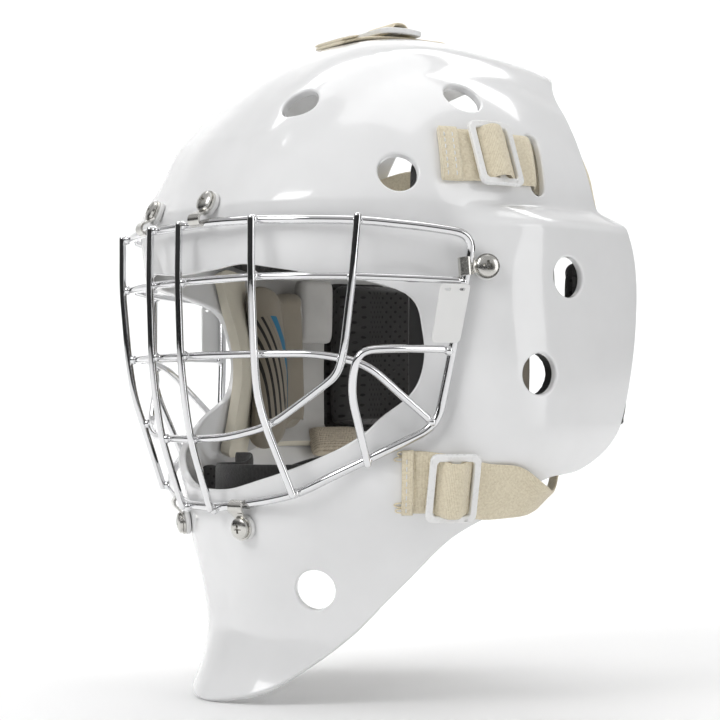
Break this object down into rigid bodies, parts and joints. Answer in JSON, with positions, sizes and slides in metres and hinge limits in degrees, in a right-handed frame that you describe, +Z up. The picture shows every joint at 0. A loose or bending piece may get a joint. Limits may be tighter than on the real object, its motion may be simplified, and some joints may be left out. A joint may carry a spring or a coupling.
{
  "type": "goalie mask",
  "caption": "Full goalie mask with a moulded glossy shell, welded wire cage, padded liner, chin cup and a strapped backplate.",
  "frame": {"origin": "middle of the head space, on the mask's middle plane", "axes": "+Z up towards the crown, -Y the way the face looks, +X the wearer's left"},
  "size_m": [0.2344, 0.2282, 0.3135],
  "materials": {
    "shell_plastic": "high gloss white",
    "chrome_wire": "polished chrome plate",
    "nickel": "bright nickel plate",
    "nylon": "satin white nylon",
    "tag_plastic": "satin white, blank",
    "slider_plastic": "semi-gloss white",
    "webbing": "woven elastic, natural cream",
    "black_fabric": "perforated black liner fabric",
    "liner_fabric": "smooth tan liner fabric",
    "knit_fabric": "cream knit fabric"
  },
  "bodies": {
    "root": {"shell": "shell_plastic", "cage_perimeter": "chrome_wire", "cage_brow_bar": "chrome_wire", "cage_cross_bar": "chrome_wire", "cage_lower_hoop": "chrome_wire", "cage_center_bars": "chrome_wire", "cage_outer_bars": "chrome_wire", "cage_side_hoops": "chrome_wire", "cage_tags": "tag_plastic", "brow_clips": "nickel", "side_clips": "nickel", "chin_clips": "nickel", "clip_screws": "nickel", "clip_washers": "nylon", "tee_nuts": "nickel", "sweatband": "black_fabric", "forehead_pad": "black_fabric", "crown_pad": "black_fabric", "left_temple_pad": "liner_fabric", "right_temple_pad": "liner_fabric", "left_side_liner": "liner_fabric", "right_side_liner": "liner_fabric", "left_cheek_pad": "liner_fabric", "right_cheek_pad": "liner_fabric", "left_ear_pad": "black_fabric", "right_ear_pad": "black_fabric", "jaw_pads": "knit_fabric", "chin_pad": "black_fabric", "chin_snaps": "nickel", "top_strap": "webbing", "side_straps": "webbing", "lower_straps": "webbing"},
    "chin_cup": {"chin_cup": "black_fabric", "chin_cup_strap": "webbing"},
    "backplate": {"backplate": "shell_plastic", "backplate_pad": "black_fabric", "strap_rivets": "nickel"},
    "top_slider": {"top_slider": "slider_plastic", "top_slider_wrap": "webbing"},
    "left_side_slider": {"left_side_slider": "slider_plastic", "left_side_slider_wrap": "webbing"},
    "right_side_slider": {"right_side_slider": "slider_plastic", "right_side_slider_wrap": "webbing"},
    "left_lower_slider": {"left_lower_slider": "slider_plastic", "left_lower_slider_wrap": "webbing"},
    "right_lower_slider": {"right_lower_slider": "slider_plastic", "right_lower_slider_wrap": "webbing"}
  },
  "joints": [
    {"name": "backplate_swing", "type": "hinge", "parent": "root", "child": "backplate", "pos_m": [0, 0.062, 0.14], "axis": [1, 0, 0], "range_deg": [0, 35], "deforming": ["top_strap", "side_straps", "lower_straps"]},
    {"name": "chin_cup_swing", "type": "hinge", "parent": "root", "child": "chin_cup", "pos_m": [0, -0.034, -0.054], "axis": [1, 0, 0], "range_deg": [-8, 10]},
    {"name": "top_slider_slide", "type": "slide", "parent": "root", "child": "top_slider", "axis": [0, 1, 0], "range_m": [-0.008, 0.008]},
    {"name": "left_side_slider_slide", "type": "slide", "parent": "root", "child": "left_side_slider", "axis": [-0.0116, 0.9999, 0], "range_m": [-0.006, 0.006]},
    {"name": "right_side_slider_slide", "type": "slide", "parent": "root", "child": "right_side_slider", "axis": [0.0116, 0.9999, 0], "range_m": [-0.006, 0.006]},
    {"name": "left_lower_slider_slide", "type": "slide", "parent": "root", "child": "left_lower_slider", "axis": [0.2995, 0.9541, 0], "range_m": [-0.005, 0.006]},
    {"name": "right_lower_slider_slide", "type": "slide", "parent": "root", "child": "right_lower_slider", "axis": [-0.2995, 0.9541, 0], "range_m": [-0.005, 0.006]}
  ]
}
